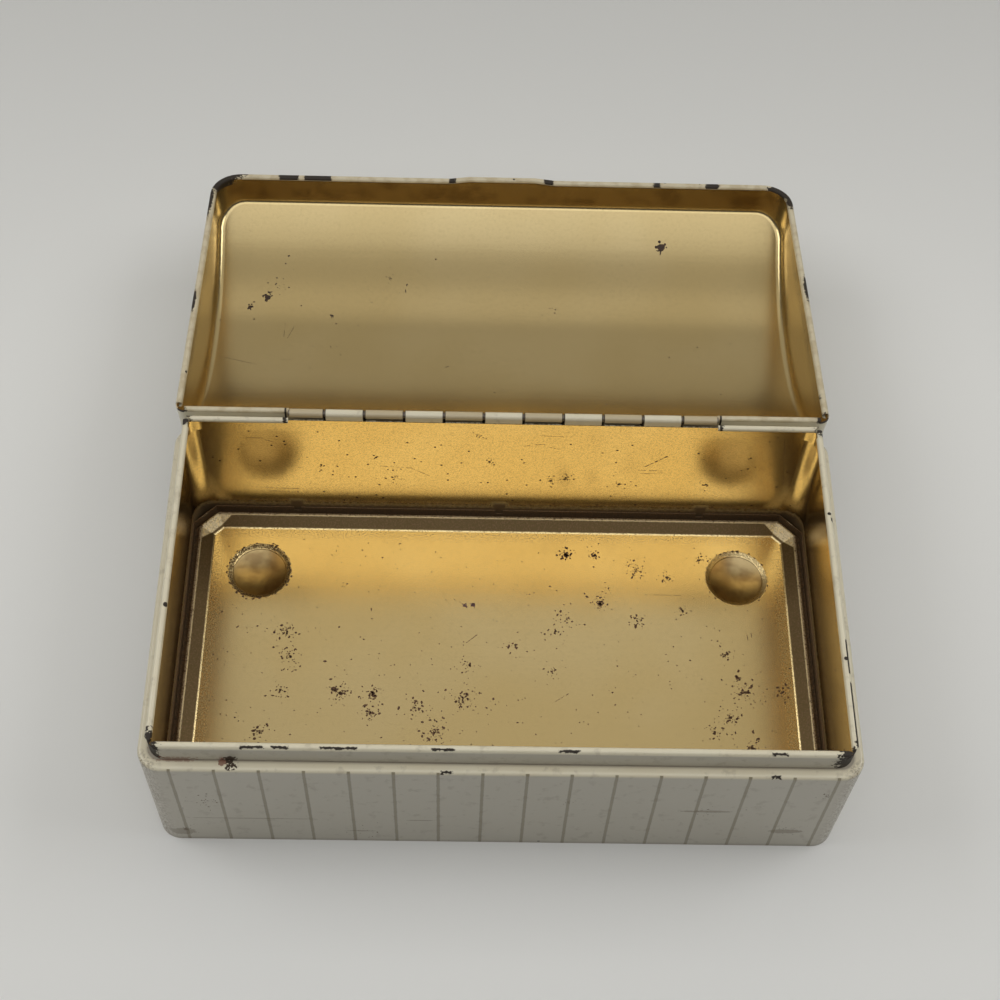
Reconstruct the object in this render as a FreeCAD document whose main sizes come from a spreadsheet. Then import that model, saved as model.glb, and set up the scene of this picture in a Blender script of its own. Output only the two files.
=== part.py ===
"""Hinged casket tin: a tinplate box with an inset neck, a pressed base panel and a domed lid.

The driving sizes are in the spreadsheet "Sizes", in millimetres and degrees.  Every box,
rod and ball of the model is bound to those cells, and the four sub-parts are boolean
features built from them:
  body_wall   the wrapped side wall with shoulder, neck, inward hem and its hinge knuckles
  base_panel  the pressed panel with a channel, a ridge, a bevel and four round feet
  hinge_pin   the wire through the knuckles
  lid         the domed lid with its skirt, curled hem, thumb lip and its hinge knuckles

X runs along the hinge, Y to the back, Z up.  The origin is under the middle of the box,
on the plane that it stands on.  The lid is drawn closed, hinge axis at the origin, and its
Placement swings it open.
"""
import FreeCAD, Part
import math
import os
import re

FreeCAD.newDocument("HingedTin")
doc = FreeCAD.ActiveDocument

SIZES = [
    ("BoxLength", 210.0),        # outside of the wall, along the hinge
    ("BoxDepth", 119.4),         # outside of the wall, front to back
    ("ShoulderHeight", 52.4),
    ("RimHeight", 61.0),         # top of the neck's hem, front and sides
    ("Sheet", 0.3),              # thickness of the tinplate
    ("WallCorner", 7.0),
    ("ShoulderBend", 1.2),       # radius of the shoulder's outer edge
    ("NeckInset", 3.3),          # front and sides
    ("NeckInsetBack", 1.0),
    ("CornerStep", 5.3),         # the neck's corners are sharper than the lid's by this
    ("HemSize", 2.1),            # diameter of the neck's curled edge
    ("HemOpening", 70.0),        # angle that the curl leaves open
    ("CornerNotch", 3.6),        # neck cut away at each corner, under the hem
    ("MitreGap", 0.7),           # from each hem's mitred end to the corner's diagonal
    ("CornerClearance", 0.25),   # from the hems' trimmed corners to the closed lid's rim
    ("RimBackGap", 0.5),         # from the side hems' back ends to the closed lid's back rim
    ("FootFlange", 2.2),         # width of the wall's turned-in bottom edge
    ("BaseClearance", 0.05),
    ("ChannelWidth", 1.7),
    ("ChannelFlange", 4.0),      # height of the panel's outer edge above the wall's flange
    ("RidgeHeight", 4.2),
    ("RidgeRadius", 0.75),
    ("FloorHeight", 1.8),
    ("BevelInset", 7.9),
    ("BaseCornerStep", 0.4),     # the panel's 45 degree corners start this far past the wall's
    ("FootDepth", 1.4),
    ("FootWidth", 20.8),
    ("FootShoulder", 0.9),       # depth of a foot's steep edge
    ("FootDish", 17.6),          # width of its shallow dish
    ("FootSideInset", 24.0),     # centre of a foot from the box's end
    ("FootBackInset", 24.4),     # centre of a back foot from the back
    ("FootFrontInset", 20.5),
    ("LockNotch", 2.6),          # width of the three cuts in the panel's upturned edge
    ("LockPitch", 69.5),
    ("KnucklePitch", 12.7),
    ("KnuckleGap", 0.5),
    ("EndKnuckleTrim", 1.7),     # the two end knuckles are shorter by this
    ("KnuckleRadius", 1.4),
    ("KnuckleWrap", 300.0),      # angle that a knuckle goes round the pin
    ("PinGap", 0.1),             # between the wire and its knuckles
    ("AxisDrop", 0.9),           # hinge axis below the rim
    ("BackHemSize", 1.9),
    ("BackHemGap", 0.25),        # from the level of the axis to each back hem
    ("HingeEndGap", 0.5),        # from the last knuckle to the back hem
    ("KnuckleRelief", 0.5),      # cut-out round the other leaf's knuckles
    ("LidSkirt", 11.65),         # rim to the dome's edge, front and back
    ("DomeRise", 19.2),
    ("DomeEdgeRadius", 2.6),     # all round the dome's edge
    ("LidDraft", 4.0),           # lean of the skirt's walls
    ("RimLap", 0.15),            # the skirt reaches this far into its curled rim
    ("LidFrontCorner", 10.5),
    ("LidBackCorner", 3.1),
    ("LidHemSize", 2.2),
    ("LidRimGap", 0.5),          # front rim above the shoulder when closed
    ("LipWidth", 24.0),          # the part that stands proud
    ("LipRamp", 7.0),            # length of each sloping end
    ("LipReach", 1.2),
    ("OpenAngle", 188.4),        # from rim plane level to the lid's stop
]
KNUCKLES = 11                    # odd ones belong to the lid, from each end

sheet = doc.addObject("Spreadsheet::Sheet", "Sizes")
for row, (alias, value) in enumerate(SIZES, start=1):
    sheet.set("A%d" % row, alias)
    sheet.set("B%d" % row, str(value))
    sheet.setAlias("B%d" % row, alias)

# sizes that follow from the driving ones
DERIVED = [
    ("HalfLength", "=BoxLength / 2"),
    ("HalfDepth", "=BoxDepth / 2"),
    ("NeckCorner", "=LidFrontCorner - CornerStep"),
    ("BaseCorner", "=WallCorner + BaseCornerStep"),
    ("BoreRadius", "=KnuckleRadius - Sheet"),
    ("PinRadius", "=BoreRadius - PinGap"),
    ("AxisBack", "=BoxDepth / 2 - NeckInsetBack + KnuckleRadius - Sheet"),
    ("AxisHeight", "=RimHeight - AxisDrop"),
    ("HingeHalf", "=KnucklePitch * %d / 2" % KNUCKLES),
    ("HingeEnd", "=HingeHalf - EndKnuckleTrim + HingeEndGap"),
    ("LipHalf", "=LipWidth / 2 + LipRamp"),
    ("LeafFace", "=KnuckleRadius - Sheet"),
    ("LidReach", "=BoxDepth - NeckInsetBack + KnuckleRadius - Sheet"),
    ("LidLean", "=tan(LidDraft * 1 deg)"),
    ("LidWall", "=Sheet / cos(LidDraft * 1 deg)"),   # the sheet, measured level
    ("LidBlockHeight", "=LidSkirt + DomeRise + 5"),
    # the closed lid dips to the front until its rim is LidRimGap above the shoulder
    ("ClosedDip", "=asin((AxisHeight + BackHemGap - ShoulderHeight - LidRimGap)"
                  " / (LidReach - LidHemSize / 2))"),
    ("LidTravel", "=OpenAngle * 1 deg + ClosedDip"),
]
for row, (alias, formula) in enumerate(DERIVED, start=len(SIZES) + 2):
    sheet.set("A%d" % row, alias)
    sheet.set("B%d" % row, formula)
    sheet.setAlias("B%d" % row, alias)
doc.recompute()


def size(alias):
    """Value of a named size, as a number."""
    return float(sheet.get(alias))


def bind(obj, **expressions):
    """Bind properties of an object to the sheet; a double underscore stands for a dot."""
    for prop, text in expressions.items():
        bound = re.sub(r"[A-Z]\w+", lambda word: "Sizes." + word.group(), text)
        obj.setExpression(prop.replace("__", "."), bound)
    return obj


def place(obj, x="0", y="0", z="0"):
    """Bind the place of an object."""
    return bind(obj, Placement__Base__x=x, Placement__Base__y=y, Placement__Base__z=z)


def box(name, x, y, z, length, width, height):
    """A block from its lowest corner and its three sizes, all as expressions."""
    obj = doc.addObject("Part::Box", name)
    bind(obj, Length=length, Width=width, Height=height)
    return place(obj, x, y, z)


def rod(name, x, y, z, length, radius, sector=None, turn=0.0, along="x"):
    """A rod along X or Y from its start; a sector leaves the rest of the turn open."""
    obj = doc.addObject("Part::Cylinder", name)
    bind(obj, Radius=radius, Height=length)
    if sector:
        bind(obj, Angle=sector)
    lie = {"x": FreeCAD.Rotation(FreeCAD.Vector(0, 1, 0), 90),
           "y": FreeCAD.Rotation(FreeCAD.Vector(1, 0, 0), -90)}[along]
    spin = FreeCAD.Rotation(FreeCAD.Vector(0, 0, 1), turn)
    obj.Placement = FreeCAD.Placement(FreeCAD.Vector(), lie.multiply(spin))
    return place(obj, x, y, z)


def cut(name, base, tool):
    obj = doc.addObject("Part::Cut", name)
    obj.Base = base
    obj.Tool = tool
    return obj


def common(name, first, second):
    obj = doc.addObject("Part::Common", name)
    obj.Base = first
    obj.Tool = second
    return obj


def fuse(name, shapes):
    obj = doc.addObject("Part::MultiFuse", name)
    obj.Shapes = shapes
    obj.Refine = False
    return obj


def fillet(name, base, *rules):
    """Round the edges that a rule picks; each rule is (test, radius at start, at end)."""
    doc.recompute()
    edges = []
    for number, edge in enumerate(base.Shape.Edges, start=1):
        for test, start, end in rules:
            if test(edge):
                edges.append((number, start(edge), end(edge)))
                break
    obj = doc.addObject("Part::Fillet", name)
    obj.Base = base
    obj.Edges = edges
    return obj


def constant(value):
    return lambda edge: value


def is_upright(edge):
    """True for a straight edge along Z."""
    if not isinstance(edge.Curve, Part.Line):
        return False
    return abs(abs(edge.Curve.Direction.z) - 1) < 1e-6


def rounded_box(name, half, front, back, bottom, top, radius, back_radius=None):
    """A block whose upright edges are rounded; half, front ... are expressions."""
    block = box(name + "Block", "-(%s)" % half, front, bottom,
                "2 * (%s)" % half, "%s - (%s)" % (back, front), "%s - (%s)" % (top, bottom))
    back_radius = radius if back_radius is None else back_radius
    doc.recompute()
    middle = block.Shape.BoundBox.Center.y
    return fillet(name, block,
                  (lambda e: is_upright(e) and e.CenterOfMass.y < middle,
                   constant(radius), constant(radius)),
                  (is_upright, constant(back_radius), constant(back_radius)))


# ---------------------------------------------------------------- body wall

def neck_box(name, more, bottom, top):
    """The space inside a wall that follows the neck, `more` further in than its face."""
    side = "HalfLength - NeckInset - %s" % more
    return rounded_box(name, side, "-(HalfDepth - NeckInset - %s)" % more,
                       "HalfDepth - NeckInsetBack - %s" % more, bottom, top,
                       size("NeckCorner") - sheet_of(more))


def sheet_of(more):
    return 0.0 if more == "0" else size("Sheet")


def wall_skin(name, more, bottom, shoulder, top):
    """Solid out to the wall's outer face, or, with more="Sheet", out to its inner face."""
    thickness = sheet_of(more)
    lower = rounded_box(name + "Lower", "HalfLength - %s" % more, "-(HalfDepth - %s)" % more,
                        "HalfDepth - %s" % more, bottom, shoulder,
                        size("WallCorner") - thickness)
    doc.recompute()
    level = lower.Shape.BoundBox.ZMax
    bend = size("ShoulderBend") - thickness
    bent = fillet(name + "Bent", lower,
                  (lambda e: e.BoundBox.ZMin > level - 1e-6, constant(bend), constant(bend)))
    return fuse(name, [bent, neck_box(name + "Neck", more, "%s + 0.1" % bottom, top)])


def hem_x(name, start, length, y, z, sizes, turn):
    """A curled edge along X: a tube of sheet with an opening."""
    outer = rod(name + "Outer", start, y, z, length, "%s / 2" % sizes,
                "360 deg - HemOpening * 1 deg", turn)
    inner = rod(name + "Inner", start, y, z, length, "%s / 2 - Sheet" % sizes)
    return cut(name, outer, inner)


def hem_y(name, start, length, x, z, sizes, turn):
    """A curled edge along Y."""
    outer = rod(name + "Outer", x, start, z, length, "%s / 2" % sizes,
                "360 deg - HemOpening * 1 deg", turn, along="y")
    inner = rod(name + "Inner", x, start, z, length, "%s / 2 - Sheet" % sizes, along="y")
    return cut(name, outer, inner)


def mitred(name, hem, x, y, turn, length):
    """Mitre a hem at 45 degrees; turn is how far its inner side is turned from +Y, and x, y is
    the neck's corner to the right of one who looks that way."""
    wedge = doc.addObject("Part::Wedge", "Mitre" + name)
    size_now = "BackHemSize" if name.startswith("Back") else "HemSize"
    bind(wedge, Xmin="-(%s) + MitreGap" % length, Xmax="-MitreGap",
         X2min="-(%s) + MitreGap + %s + Sheet" % (length, size_now),
         X2max="-MitreGap - %s - Sheet" % size_now,
         Ymin="0", Ymax="%s + Sheet" % size_now, Zmin="0", Z2min="0",
         Zmax="RimHeight + HemSize", Z2max="RimHeight + HemSize")
    wedge.Placement = FreeCAD.Placement(FreeCAD.Vector(),
                                        FreeCAD.Rotation(FreeCAD.Vector(0, 0, 1), turn))
    place(wedge, x, y)
    return common("Hem%sMitred" % name, hem, wedge)


def knuckle_span(index):
    """Start and length of a knuckle along X, as expressions."""
    start = "-HingeHalf + %d * KnucklePitch + KnuckleGap / 2" % index
    length = "KnucklePitch - KnuckleGap"
    if index in (0, KNUCKLES - 1):
        length += " - EndKnuckleTrim + KnuckleGap / 2"
    if index == 0:
        start += " + EndKnuckleTrim - KnuckleGap / 2"
    return start, length


def knuckle(leaf, index, tongue, y, z, turn):
    """A tongue with its end curled round the pin."""
    start, length = knuckle_span(index)
    name = "%s%d" % (leaf, index)
    curl = rod(name + "Curl", start, y, z, length, "KnuckleRadius", "KnuckleWrap * 1 deg", turn)
    bore = rod(name + "Bore", start + " - 1", y, z, length + " + 2", "BoreRadius")
    return cut(name + "Knuckle", fuse(name + "Roll", [tongue, curl]), bore)


def build_body_wall():
    outer = wall_skin("WallOut", "0", "0", "ShoulderHeight", "RimHeight - HemSize / 2")
    inner = wall_skin("WallIn", "Sheet", "Sheet", "ShoulderHeight - Sheet", "RimHeight + 1")
    shell = cut("WallShell", outer, inner)
    doc.recompute()

    # the bottom is open inside the turned-in flange
    foot = rounded_box("FootHole", "HalfLength - FootFlange", "-(HalfDepth - FootFlange)",
                       "HalfDepth - FootFlange", "-1", "1",
                       size("WallCorner") - size("FootFlange"))

    # the neck is lower at its corners, where the hem is notched
    notches = []
    for side, x in (("Left", "-HalfLength"), ("Right", "HalfLength - NeckInset - CornerNotch")):
        for end, y in (("Front", "-HalfDepth"),
                       ("Back", "HalfDepth - NeckInsetBack - CornerNotch")):
            notches.append(box("Notch" + side + end, x, y, "RimHeight - HemSize - 0.5",
                               "NeckInset + CornerNotch", "NeckInset + CornerNotch",
                               "HemSize + 1"))

    # the back of the neck ends under the back hem and under the hinge knuckles
    back_y = "HalfDepth - NeckInsetBack - Sheet - 1"
    low = box("BackEdge", "-HalfLength", back_y, "AxisHeight - BackHemGap - BackHemSize / 2",
              "BoxLength", "Sheet + 2", "4")
    relief = box("HingeRelief", "-HingeEnd", back_y,
                 "AxisHeight - KnuckleRadius - KnuckleRelief",
                 "2 * HingeEnd", "Sheet + 2", "6")
    wall = cut("WallCut", shell, fuse("WallCuts", [foot, low, relief] + notches))

    # hems: front, both sides, and the back on each side of the hinge, mitred at the corners
    level = "RimHeight - HemSize / 2"
    half_x, half_y = "(HalfLength - NeckInset)", "(HalfDepth - NeckInset)"
    full, deep = "2 * %s" % half_x, "BoxDepth - NeckInset - NeckInsetBack"
    hems = [mitred("Front", hem_x("HemFront", "-" + half_x, full,
                                  "-(%s - HemSize / 2)" % half_y, level, "HemSize", -20.0),
                   half_x, "-" + half_y, 0, full)]
    hems.append(mitred("Left", hem_y("HemLeft", "-" + half_y, deep,
                                     "-(%s - HemSize / 2)" % half_x, level, "HemSize", 180.0),
                       "-" + half_x, "-" + half_y, -90, deep))
    hems.append(mitred("Right", hem_y("HemRight", "-" + half_y, deep,
                                      "%s - HemSize / 2" % half_x, level, "HemSize", 70.0),
                       half_x, "HalfDepth - NeckInsetBack", 90, deep))
    for side, start in (("Left", "-" + half_x), ("Right", "HingeEnd")):
        hem = hem_x("HemBack" + side, start, "%s - HingeEnd" % half_x,
                    "HalfDepth - NeckInsetBack - BackHemSize / 2",
                    "AxisHeight - BackHemGap - BackHemSize / 2", "BackHemSize", 90.0)
        hems.append(mitred("Back" + side, hem, "-" + half_x, "HalfDepth - NeckInsetBack", 180,
                           full))

    # the front corners are trimmed round, so that the closed lid's rim passes them
    trims = []
    for side, x in (("Left", "-HalfLength"), ("Right", "HalfLength - LidFrontCorner")):
        block = box("Trim" + side, x, "-HalfDepth", "RimHeight - HemSize - CornerNotch / 2",
                    "LidFrontCorner", "LidFrontCorner", "HemSize + CornerNotch")
        inside = doc.addObject("Part::Cylinder", "TrimInside" + side)
        bind(inside, Radius="LidFrontCorner - LidHemSize - CornerClearance", Height="BoxDepth")
        sign = "-" if side == "Left" else ""
        place(inside, "%s(HalfLength - LidFrontCorner)" % sign,
              "-(HalfDepth - LidFrontCorner)")
        trims.append(cut("TrimTool" + side, block, inside))
    # at the closed lid's back rim nothing stands above the back hems
    trims.append(box("TrimBack", "-HalfLength",
                     "AxisBack - LeafFace - BackHemSize - RimBackGap", "AxisHeight - BackHemGap",
                     "BoxLength", "LeafFace + BackHemSize + RimBackGap", "HemSize"))
    trimmed = cut("HemsTrimmed", fuse("Hems", hems), fuse("Trims", trims))
    pieces = [wall, trimmed]

    # knuckles: a tongue of the back wall, curled outwards round the pin
    for index in range(1, KNUCKLES, 2):
        start, length = knuckle_span(index)
        tongue = box("BodyTongue%d" % index, start, "AxisBack - KnuckleRadius",
                     "AxisHeight - KnuckleRadius - KnuckleRelief - 0.2", length, "Sheet",
                     "KnuckleRadius + KnuckleRelief + 0.2")
        pieces.append(knuckle("Body", index, tongue, "AxisBack", "AxisHeight", -30.0))
    return fuse("BodyWall", pieces)


# ---------------------------------------------------------------- base panel

def sheet_outline(path, thickness):
    """Closed outline of a sheet whose top face follows a path of (inset, height)."""
    lower = []
    for i, point in enumerate(path):
        before = path[max(i - 1, 0)]
        after = path[min(i + 1, len(path) - 1)]
        first = (point[0] - before[0], point[1] - before[1])
        second = (after[0] - point[0], after[1] - point[1])
        normals = []
        for dx, dz in (first, second):
            length = math.hypot(dx, dz)
            if length > 1e-9:
                normals.append((dz / length, -dx / length))
        nx = sum(n[0] for n in normals) / len(normals)
        nz = sum(n[1] for n in normals) / len(normals)
        scale = thickness / (nx * nx + nz * nz)
        lower.append((point[0] + nx * scale, point[1] + nz * scale))
    return list(path) + lower[::-1]


def clipped_rectangle(inset, height):
    """Corners of the box's plan, `inset` further in, with its corners clipped at 45 degrees."""
    half, deep = size("HalfLength") - inset, size("HalfDepth") - inset
    leg = size("BaseCorner") - inset * (2 - math.sqrt(2))
    corners = []
    for sx, sy in ((1, -1), (1, 1), (-1, 1), (-1, -1)):
        pair = [(sx * half, sy * (deep - leg)), (sx * (half - leg), sy * deep)]
        if sx * sy < 0:
            pair.reverse()
        corners += pair
    return [FreeCAD.Vector(x, y, height) for x, y in corners]


def swept_ring(outline):
    """A solid ring with the outline as its section, mitred round the clipped rectangle."""
    loops = [clipped_rectangle(inset, height) for inset, height in outline]
    faces = []
    for i, loop in enumerate(loops):
        other = loops[(i + 1) % len(loops)]
        for k in range(len(loop)):
            n = (k + 1) % len(loop)
            corners = [loop[k], loop[n], other[n], other[k], loop[k]]
            faces.append(Part.Face(Part.makePolygon(corners)))
    solid = Part.Solid(Part.Shell(faces))
    if solid.Volume < 0:
        solid.reverse()
    return solid


def build_base_panel():
    thin = size("Sheet")
    flange = thin + size("BaseClearance")
    channel = thin + size("BaseClearance") + thin
    ridge_out = flange + thin + size("ChannelWidth")
    radius = size("RidgeRadius")
    centre = (ridge_out + radius, size("RidgeHeight") - radius)
    bevel_end = (size("BevelInset"), size("FloorHeight"))
    reach = math.hypot(bevel_end[0] - centre[0], bevel_end[1] - centre[1])
    slope = math.atan2(centre[1] - bevel_end[1], bevel_end[0] - centre[0])
    last = math.asin(radius / reach) + math.pi / 2 - slope
    steps = 8
    path = [(flange + thin, channel + size("ChannelFlange")),
            (flange + thin, channel), (ridge_out, channel)]
    for i in range(steps + 1):
        angle = math.pi - (math.pi - last) * i / steps
        path.append((centre[0] + radius * math.cos(angle), centre[1] + radius * math.sin(angle)))
    path.append(bevel_end)
    path.append((bevel_end[0] + 2.0, bevel_end[1]))
    ring = doc.addObject("Part::Feature", "BaseRing")
    ring.Shape = swept_ring(sheet_outline(path, thin))

    slab = doc.addObject("Part::Feature", "BaseSlab")
    plan = clipped_rectangle(bevel_end[0] + 1.0, bevel_end[1] - thin)
    face = Part.Face(Part.makePolygon(plan + plan[:1]))
    slab.Shape = face.extrude(FreeCAD.Vector(0, 0, thin))

    # four round feet pressed down: a steep edge and a shallow dish
    rim, dish = size("FootWidth") / 2, size("FootDish") / 2
    sag = size("FootDepth") - size("FootShoulder")
    ball = (dish * dish + sag * sag) / (2 * sag)
    pressed, hollows = [ring, slab], []
    for end, sx in (("Left", -1), ("Right", 1)):
        for side, y in (("Front", "-(HalfDepth - FootFrontInset)"),
                        ("Back", "HalfDepth - FootBackInset")):
            x = "%d * (HalfLength - FootSideInset)" % sx
            for kind, drop in (("Outer", "Sheet"), ("Inner", "0")):
                name = "Foot" + end + side + kind
                edge = doc.addObject("Part::Cone", name + "Edge")
                bind(edge, Radius1="FootDish / 2", Radius2="FootWidth / 2",
                     Height="FootShoulder")
                place(edge, x, y, "FloorHeight - FootShoulder - %s" % drop)
                sphere = doc.addObject("Part::Sphere", name + "Ball")
                sphere.Radius = ball
                sphere.Placement = FreeCAD.Placement(
                    FreeCAD.Vector(), FreeCAD.Rotation(FreeCAD.Vector(1, 0, 0), 90))
                place(sphere, x, y, "FloorHeight - FootDepth + %.9f - %s" % (ball, drop))
                trim = doc.addObject("Part::Cylinder", name + "Trim")
                bind(trim, Radius="FootDish / 2", Height="FootDepth - FootShoulder + 0.01")
                place(trim, x, y, "FloorHeight - FootDepth - %s" % drop)
                bowl = fuse(name, [edge, common(name + "Dish", sphere, trim)])
                (hollows if kind == "Inner" else pressed).append(bowl)
    panel = cut("BasePressedHollow", fuse("BasePressed", pressed), fuse("FootHollows", hollows))

    # cuts in the upturned edge, where the panel is locked in the wall
    locks = []
    for side, y in (("Front", "-HalfDepth"), ("Back", "HalfDepth - 2")):
        for index in (-1, 0, 1):
            locks.append(box("Lock%s%d" % (side, index + 1),
                             "%d * LockPitch - LockNotch / 2" % index, y,
                             "2 * Sheet + BaseClearance + ChannelFlange / 2",
                             "LockNotch", "2", "ChannelFlange"))
    return cut("BasePanel", panel, fuse("Locks", locks))


# ---------------------------------------------------------------- hinge pin

def build_hinge_pin():
    return rod("HingePin", "-HingeEnd", "AxisBack", "AxisHeight", "2 * HingeEnd", "PinRadius")


# ---------------------------------------------------------------- lid, drawn closed

def lid_block(name, skins, bottom):
    """Solid out to the lid's outer face (skins 0) or to its inner face (skins 1), upwards
    from a level, as an expression."""
    thickness = skins * size("Sheet")
    start = "%d * LidWall + LidLean * (%s - BackHemGap)" % (skins, bottom)
    end = "%s + LidLean * LidBlockHeight" % start
    back, back_end = ["LeafFace + %s" % lean for lean in (start, end)]
    wedge = doc.addObject("Part::Wedge", name + "Wedge")
    bind(wedge, Ymin="0", Ymax="LidBlockHeight",
         Xmin="-(HalfLength - (%s))" % start, Xmax="HalfLength - (%s)" % start,
         X2min="-(HalfLength - (%s))" % end, X2max="HalfLength - (%s)" % end,
         Zmin=back, Z2min=back_end,
         Zmax="LidReach - (%s)" % start, Z2max="LidReach - (%s)" % end)
    wedge.Placement = FreeCAD.Placement(
        FreeCAD.Vector(), FreeCAD.Rotation(FreeCAD.Vector(1, 0, 0), 90))
    place(wedge, z=bottom)
    middle = -(size("LidReach") + size("LeafFace")) / 2

    def rising(edge):
        bounds = edge.BoundBox
        return bounds.ZLength > size("LidBlockHeight") - 0.01

    rounded = fillet(name + "Rounded", wedge,
                     (lambda e: rising(e) and e.CenterOfMass.y < middle,
                      constant(size("LidFrontCorner") - thickness),
                      constant(size("LidFrontCorner") - thickness)),
                     (rising, constant(size("LidBackCorner") - thickness),
                      constant(size("LidBackCorner") - thickness)))

    span = (size("LidReach") - size("LeafFace")) / 2
    dome = (span * span + size("DomeRise") ** 2) / (2 * size("DomeRise"))
    barrel = rod(name + "Barrel", "-(HalfLength + 1)", "-(LidReach + LeafFace) / 2",
                 "BackHemGap + LidSkirt + DomeRise - %.9f" % dome, "BoxLength + 2",
                 "%.9f" % (dome - thickness))
    arched = common(name + "Arched", rounded, barrel)
    doc.recompute()
    seams = [face.OuterWire.Edges for face in arched.Shape.Faces
             if isinstance(face.Surface, Part.Cylinder)
             and abs(face.Surface.Radius - (dome - thickness)) < 1e-6]

    def on_rim(edge):
        """True for an edge that one part of the dome has and the others have not."""
        return sum(1 for seam in seams for other in seam if other.isSame(edge)) == 1

    bend = size("DomeEdgeRadius") - thickness
    return fillet(name, arched, (on_rim, constant(bend), constant(bend)))


def ring_corner(name, x, y, z, around, tube, turn):
    """A quarter of a gutter-shaped ring: the rim turned up round a corner."""
    rings = []
    for kind, radius in (("Outer", tube), ("Inner", tube + " - Sheet")):
        ring = doc.addObject("Part::Torus", name + kind)
        ring.Angle1, ring.Angle2, ring.Angle3 = 0, 180, 90
        bind(ring, Radius1=around, Radius2=radius)
        ring.Placement = FreeCAD.Placement(
            FreeCAD.Vector(), FreeCAD.Rotation(FreeCAD.Vector(0, 0, 1), turn))
        rings.append(place(ring, x, y, z))
    return cut(name, rings[0], rings[1])


def build_lid():
    outer = lid_block("LidOut", 0, "BackHemGap + LidHemSize / 2 - RimLap")
    inner = lid_block("LidIn", 1, "BackHemGap - 3")
    shell = cut("LidShell", outer, inner)

    # the back skirt ends above the knuckles
    relief = box("LidRelief", "-HingeEnd", "-KnuckleRadius - 1", "-1",
                 "2 * HingeEnd", "3", "1 + KnuckleRadius + KnuckleRelief")
    pieces = [cut("LidCut", shell, relief)]

    # curled rim
    level = "BackHemGap + LidHemSize / 2"
    reach = "LidReach - LidHemSize / 2"
    front_run = "HalfLength - LidFrontCorner - LipHalf"
    for side, start in (("Left", "-HalfLength + LidFrontCorner"), ("Right", "LipHalf")):
        pieces.append(hem_x("RimFront" + side, start, front_run, "-(%s)" % reach, level,
                            "LidHemSize", 270.0))
    side_run = "LidReach - LidFrontCorner - LeafFace - LidBackCorner"
    for side, sign, turn in (("Left", "-", 250.0), ("Right", "", 0.0)):
        x = "%s(HalfLength - LidHemSize / 2)" % sign
        pieces.append(hem_y("Rim" + side, "-LidReach + LidFrontCorner", side_run, x, level,
                            "LidHemSize", turn))
        pieces.append(ring_corner("RimCorner" + side, "%s(HalfLength - LidFrontCorner)" % sign,
                                  "-LidReach + LidFrontCorner", level,
                                  "LidFrontCorner - LidHemSize / 2", "LidHemSize / 2",
                                  180.0 if sign else 270.0))
    back_run = "HalfLength - LidBackCorner - HingeEnd"
    for side, start in (("Left", "-HalfLength + LidBackCorner"),
                        ("Right", "HingeEnd")):
        pieces.append(hem_x("RimBack" + side, start, back_run, "-LeafFace - BackHemSize / 2",
                            "BackHemGap + BackHemSize / 2", "BackHemSize", 180.0))

    # thumb lip: the rim swings out, runs level and swings back
    lip = hem_x("ThumbLip", "-LipWidth / 2", "LipWidth", "-(%s + LipReach)" % reach, level,
                "LidHemSize", 270.0)
    web = doc.addObject("Part::Wedge", "LipWeb")
    bind(web, Xmin="-LipHalf", Xmax="LipHalf", X2min="-LipWidth / 2", X2max="LipWidth / 2",
         Ymin="0", Ymax="LipReach", Zmin="0", Z2min="0", Zmax="Sheet", Z2max="Sheet")
    web.Placement = FreeCAD.Placement(
        FreeCAD.Vector(), FreeCAD.Rotation(FreeCAD.Vector(0, 0, 1), 180))
    pieces += [lip, place(web, y="-LidReach + Sheet / 2", z="%s - Sheet / 2" % level)]
    for side, sign, across in (("Left", "-", -1), ("Right", "", 1)):
        end = hem_x("LipEnd" + side, "-0.1", "0.2", "-(%s + LipReach)" % reach, level,
                    "LidHemSize", 270.0)
        slice_now = doc.addObject("Part::Plane", "LipSlice" + side)
        bind(slice_now, Length="2 * LidHemSize", Width="2 * LidHemSize")
        slice_now.Placement = FreeCAD.Placement(
            FreeCAD.Vector(), FreeCAD.Rotation(FreeCAD.Vector(0, 1, 0), -90))
        place(slice_now, "0", "-(%s + LipReach + LidHemSize)" % reach, "0 - LidHemSize / 2")
        ramp = doc.addObject("Part::Extrusion", "LipRamp" + side)
        ramp.Base = common("LipSection" + side, end, slice_now)
        ramp.DirMode = "Custom"
        ramp.Solid = True
        ramp.Dir = FreeCAD.Vector(across * size("LipRamp"), size("LipReach"), 0)
        bind(ramp, LengthFwd="sqrt(pow(LipRamp ; 2) + pow(LipReach ; 2))")
        pieces.append(place(ramp, "%sLipWidth / 2" % sign))

    # knuckles: a tongue of the back skirt, curled outwards round the pin
    for index in range(0, KNUCKLES, 2):
        start, length = knuckle_span(index)
        tongue = box("LidTongue%d" % index, start, "-KnuckleRadius", "0", length, "Sheet",
                     "KnuckleRadius + KnuckleRelief + 0.2")
        pieces.append(knuckle("Lid", index, tongue, "0", "0", 270.0))
    lid_now = fuse("Lid", pieces)
    lid_now.Placement = FreeCAD.Placement(
        FreeCAD.Vector(0, size("AxisBack"), size("AxisHeight")),
        FreeCAD.Rotation(FreeCAD.Vector(1, 0, 0), -size("OpenAngle")))
    return lid_now


body_wall = build_body_wall()
body_wall.Label = "body_wall"
base_panel = build_base_panel()
base_panel.Label = "base_panel"
hinge_pin = build_hinge_pin()
hinge_pin.Label = "hinge_pin"
lid = build_lid()
lid.Label = "lid"
doc.recompute()

for obj in doc.Objects:
    if "Invalid" in obj.State or "Error" in obj.State:
        raise RuntimeError("failed: " + obj.Name)

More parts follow.
